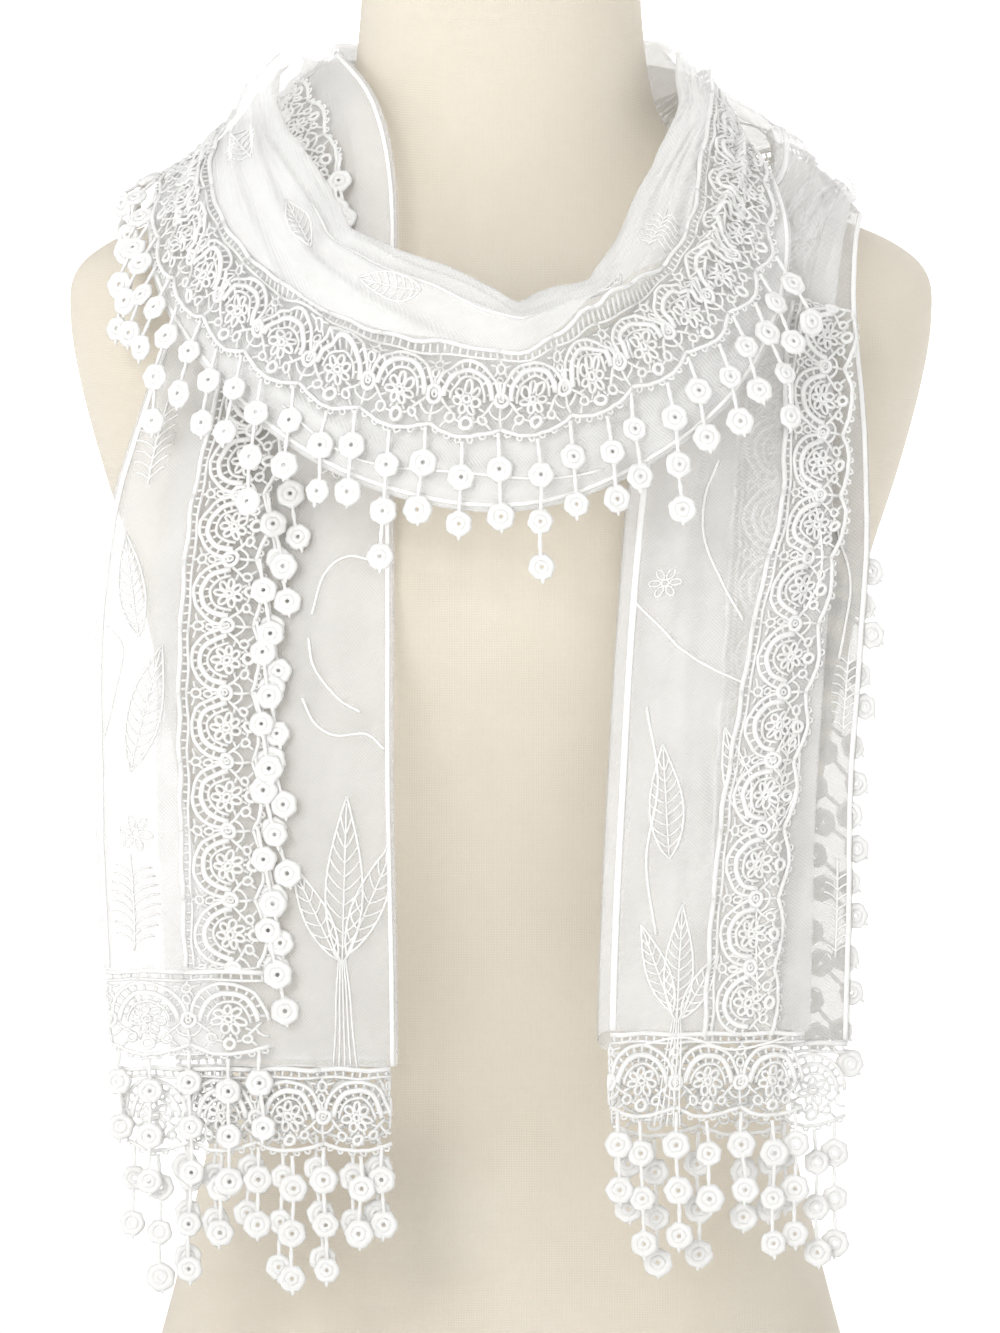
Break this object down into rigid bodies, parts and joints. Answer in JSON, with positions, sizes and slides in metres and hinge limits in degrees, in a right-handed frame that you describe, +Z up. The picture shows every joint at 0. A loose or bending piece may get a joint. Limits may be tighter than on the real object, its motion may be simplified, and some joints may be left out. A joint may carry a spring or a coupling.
{
  "type": "lace shawl on a limbless dress form",
  "caption": "Sheer net shawl with lace borders and pendant fringe, wound once round the neck of a plain limbless dress form, both ends hanging in front.",
  "frame": {"origin": "centre of the form's flat base", "axes": "+Z up the form, from its base to the neck; the form faces -Y; +X is to the right of a viewer who faces the form's front"},
  "size_m": [0.398, 0.3281, 0.7205],
  "materials": {
    "linen": "matte linen weave",
    "net": "sheer matte net",
    "lace": "soft matte thread"
  },
  "bodies": {
    "root": {"dress_form": "linen", "left_tail": "net", "nape_inner": "net", "cowl": "net", "nape_outer": "net", "right_tail": "net", "left_edge_lace": "lace", "left_edge_fringe": "lace", "cowl_edge_lace": "lace", "cowl_edge_fringe": "lace", "nape_edge_lace": "lace", "nape_edge_fringe": "lace", "right_edge_lace": "lace", "right_edge_fringe": "lace", "left_end_front_lace": "lace", "left_end_front_fringe": "lace", "left_end_back_lace": "lace", "left_end_back_fringe": "lace", "right_end_front_lace": "lace", "right_end_front_fringe": "lace", "right_end_side_lace": "lace", "right_end_side_fringe": "lace"}
  },
  "joints": []
}
